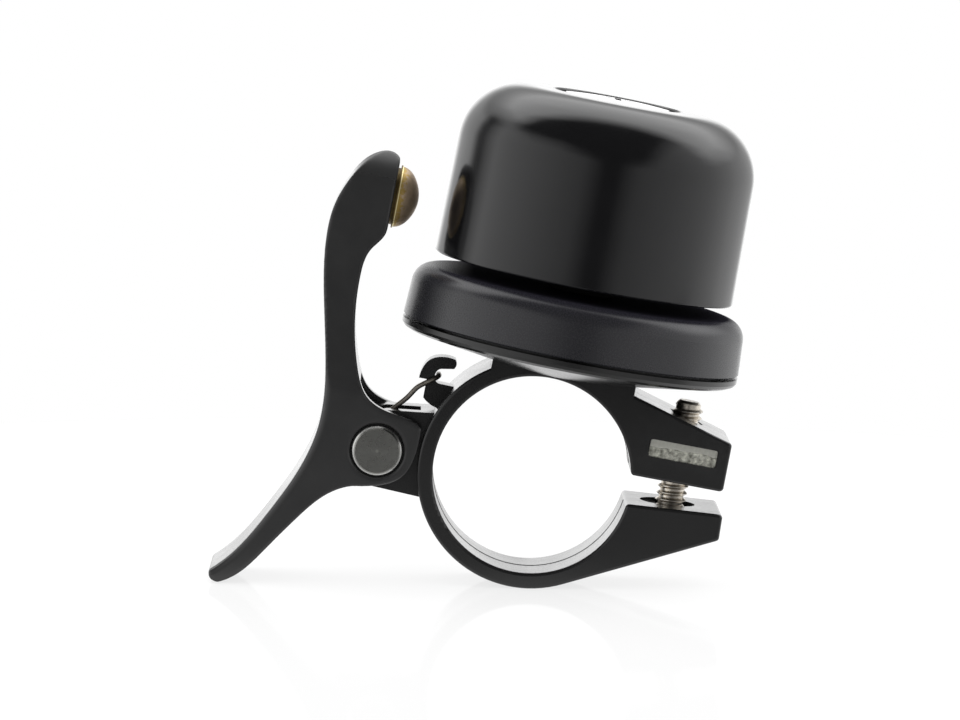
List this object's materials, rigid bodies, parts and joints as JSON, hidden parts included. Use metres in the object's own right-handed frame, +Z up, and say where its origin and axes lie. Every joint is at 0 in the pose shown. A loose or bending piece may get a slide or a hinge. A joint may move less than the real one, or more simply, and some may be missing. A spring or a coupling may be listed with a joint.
{
  "type": "bicycle bell",
  "caption": "Small handlebar bell: black metal dome over a shallow cup, moulded split clamp, and a sprung thumb lever with a brass hammer.",
  "frame": {"origin": "centre of the handlebar bore, at the middle of the ring's width", "axes": "+Z up along the bell axis, +Y along the handlebar, +X towards the clamp screw; the lever is on the -X side"},
  "size_m": [0.0561, 0.0388, 0.0618],
  "materials": {
    "matte_black_plastic": "fine matte mould texture",
    "satin_black_plastic": "satin, fine texture",
    "black_coated_metal": "satin-gloss black coat",
    "blackened_steel": "black oxide",
    "brass": "turned, slightly dulled",
    "isolator_rubber": "matte",
    "plated_steel": "zinc plated",
    "chromed_steel": "polished",
    "brushed_steel": "fine turned face",
    "spring_steel": "drawn wire"
  },
  "bodies": {
    "frame": {"clamp_body": "matte_black_plastic", "base_cup": "satin_black_plastic", "bell_dome": "black_coated_metal", "dome_post": "blackened_steel", "cup_washer": "blackened_steel", "post_insert": "brass", "dome_isolator": "isolator_rubber", "dome_lock_washer": "plated_steel", "dome_screw": "chromed_steel", "clamp_nut": "plated_steel", "pivot_pin": "brushed_steel", "pivot_washer": "plated_steel", "pivot_clip": "blackened_steel", "torsion_spring": "spring_steel"},
    "lever": {"striker_lever": "matte_black_plastic", "hammer_head": "brass"},
    "screw_carrier": {"clamp_washer": "plated_steel"},
    "screw": {"clamp_screw": "plated_steel"}
  },
  "joints": [
    {"name": "strike", "type": "hinge", "parent": "frame", "child": "lever", "pos_m": [-0.0177, 0, -0.0005], "axis": [0, 1, 0], "range_deg": [0, 5.9], "stiffness_Nm_per_rad": 0.05, "springref_deg": -20.05, "deforming": ["torsion_spring"]},
    {"name": "screw_travel", "type": "slide", "parent": "frame", "child": "screw_carrier", "axis": [0, 0, -1], "range_m": [0, 0.00635]},
    {"name": "screw_turn", "type": "hinge", "parent": "screw_carrier", "child": "screw", "pos_m": [0.01635, 0, 0], "axis": [0, 0, 1], "range_deg": [0, 2880]}
  ],
  "couplings": [
    {"joint": "screw_turn", "follows": "screw_travel", "rad_per_m": 7913.3}
  ]
}
